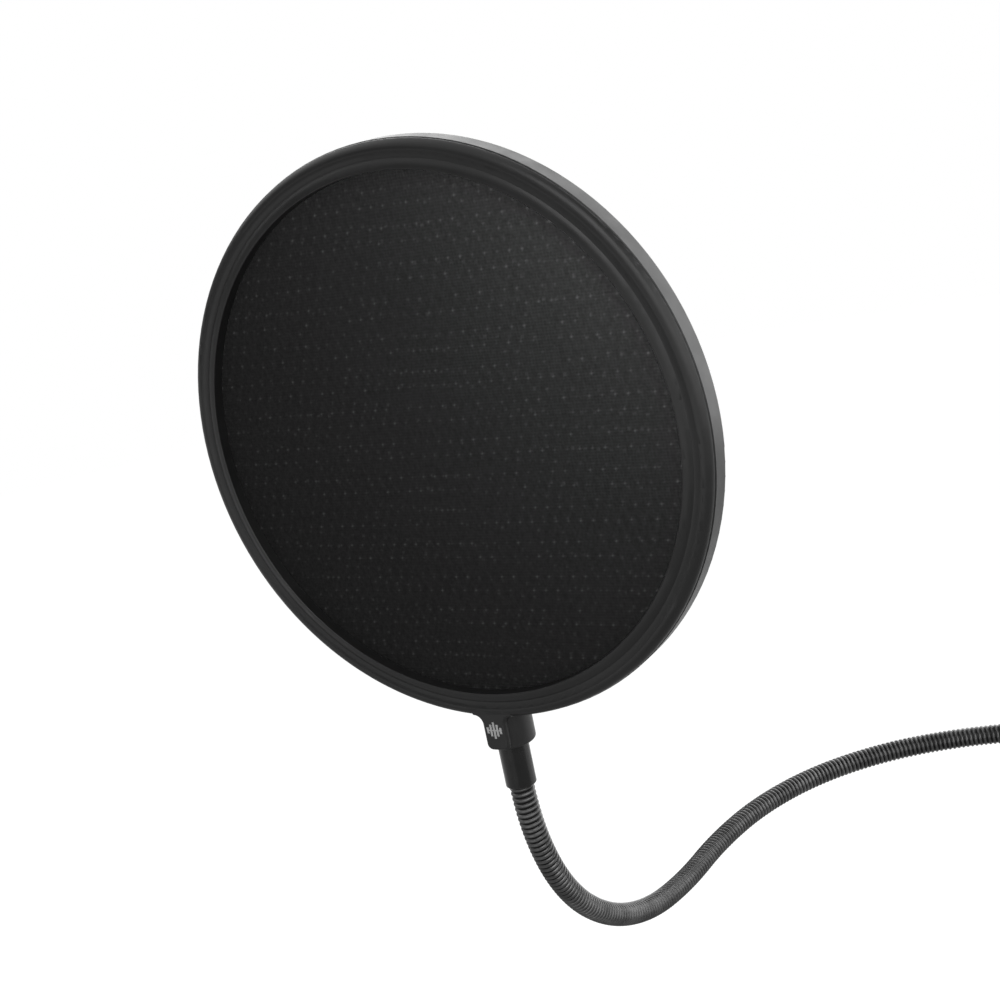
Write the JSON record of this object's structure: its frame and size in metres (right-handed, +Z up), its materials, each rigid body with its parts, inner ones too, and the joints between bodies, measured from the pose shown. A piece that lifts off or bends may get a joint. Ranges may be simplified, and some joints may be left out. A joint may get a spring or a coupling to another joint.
{
  "type": "microphone pop filter",
  "caption": "Round fabric pop filter in a two-part frame on a bendable gooseneck, with a screw clamp for an upright microphone stand.",
  "frame": {"origin": "on the axis of the upright pole that the clamp holds, at the middle of the jaws' height", "axes": "+Z up along the pole, the fabric faces -Y, the clamp screw runs along +Y, and the clamp opens to +X"},
  "size_m": [0.3001, 0.2982, 0.2666],
  "materials": {
    "frame_plastic": "fine satin moulding",
    "mesh_fabric": "woven, matt",
    "badge_print": "light grey print",
    "ferrule_black": "satin black",
    "neck_steel": "satin black spiral wire",
    "screw_steel": "zinc plated",
    "clamp_paint": "fine black powder coat",
    "liner_rubber": "matt",
    "insert_brass": "turned",
    "knob_plastic": "textured moulding",
    "cap_plastic": "smooth moulding"
  },
  "bodies": {
    "clamp": {"clamp_frame": "clamp_paint", "jaw_liner": "liner_rubber", "screw_insert": "insert_brass", "neck_stud": "screw_steel", "neck_lock_nut": "screw_steel", "lower_ferrule": "ferrule_black", "neck_section_13": "neck_steel"},
    "neck_12": {"neck_section_12": "neck_steel"},
    "neck_11": {"neck_section_11": "neck_steel"},
    "neck_10": {"neck_section_10": "neck_steel"},
    "neck_09": {"neck_section_09": "neck_steel"},
    "neck_08": {"neck_section_08": "neck_steel"},
    "neck_07": {"neck_section_07": "neck_steel"},
    "neck_06": {"neck_section_06": "neck_steel"},
    "neck_05": {"neck_section_05": "neck_steel"},
    "neck_04": {"neck_section_04": "neck_steel"},
    "neck_03": {"neck_section_03": "neck_steel"},
    "neck_02": {"neck_section_02": "neck_steel"},
    "head": {"front_bezel": "frame_plastic", "rear_frame": "frame_plastic", "front_mesh": "mesh_fabric", "rear_mesh": "mesh_fabric", "mesh_spacer": "frame_plastic", "tab_badge": "badge_print", "head_screw": "screw_steel", "upper_ferrule": "ferrule_black", "neck_section_01": "neck_steel"},
    "shoe": {"pressure_shoe": "clamp_paint", "shoe_liner": "liner_rubber", "shoe_retainer": "screw_steel"},
    "screw": {"clamp_screw": "screw_steel", "clamp_knob": "knob_plastic", "knob_cap": "cap_plastic"}
  },
  "joints": [
    {"name": "neck_bend_12", "type": "hinge", "parent": "clamp", "child": "neck_12", "pos_m": [-0.08548, -0.00094, 0], "axis": [0, 0, -1], "range_deg": [-25, 25]},
    {"name": "neck_bend_11", "type": "hinge", "parent": "neck_12", "child": "neck_11", "pos_m": [-0.11226, -0.00423, 0], "axis": [0.1736, -0.9848, 0], "range_deg": [-25, 25]},
    {"name": "neck_bend_10", "type": "hinge", "parent": "neck_11", "child": "neck_10", "pos_m": [-0.13838, -0.01098, 0], "axis": [0, 0, -1], "range_deg": [-25, 25]},
    {"name": "neck_bend_09", "type": "hinge", "parent": "neck_10", "child": "neck_09", "pos_m": [-0.1627, -0.02258, 0], "axis": [0.5299, -0.848, 0], "range_deg": [-25, 25]},
    {"name": "neck_bend_08", "type": "hinge", "parent": "neck_09", "child": "neck_08", "pos_m": [-0.18331, -0.03988, 0], "axis": [0, 0, -1], "range_deg": [-25, 25]},
    {"name": "neck_bend_07", "type": "hinge", "parent": "neck_08", "child": "neck_07", "pos_m": [-0.19816, -0.06231, 0], "axis": [0.9063, -0.4226, 0], "range_deg": [-25, 25]},
    {"name": "neck_bend_06", "type": "hinge", "parent": "neck_07", "child": "neck_06", "pos_m": [-0.20625, -0.08799, 0], "axis": [0, 0, -1], "range_deg": [-25, 25]},
    {"name": "neck_bend_05", "type": "hinge", "parent": "neck_06", "child": "neck_05", "pos_m": [-0.20861, -0.11485, 0], "axis": [1, 0, 0], "range_deg": [-25, 25]},
    {"name": "neck_bend_04", "type": "hinge", "parent": "neck_05", "child": "neck_04", "pos_m": [-0.20861, -0.14172, 0.00235], "axis": [0, -0.1736, -0.9848], "range_deg": [-25, 25]},
    {"name": "neck_bend_03", "type": "hinge", "parent": "neck_04", "child": "neck_03", "pos_m": [-0.20861, -0.16723, 0.01089], "axis": [1, 0, 0], "range_deg": [-25, 25]},
    {"name": "neck_bend_02", "type": "hinge", "parent": "neck_03", "child": "neck_02", "pos_m": [-0.20861, -0.18888, 0.02682], "axis": [0, -0.7157, -0.6984], "range_deg": [-25, 25]},
    {"name": "neck_bend_01", "type": "hinge", "parent": "neck_02", "child": "head", "pos_m": [-0.20861, -0.20345, 0.04934], "axis": [1, 0, 0], "range_deg": [-25, 25]},
    {"name": "clamp_travel", "type": "slide", "parent": "clamp", "child": "shoe", "axis": [0, 1, 0], "range_m": [-0.01, 0.0115]},
    {"name": "screw_turn", "type": "hinge", "parent": "shoe", "child": "screw", "pos_m": [0, 0.04, 0], "axis": [0, 1, 0], "range_deg": [-2881, 3313]}
  ],
  "couplings": [
    {"joint": "screw_turn", "follows": "clamp_travel", "rad_per_m": 5026.5}
  ]
}
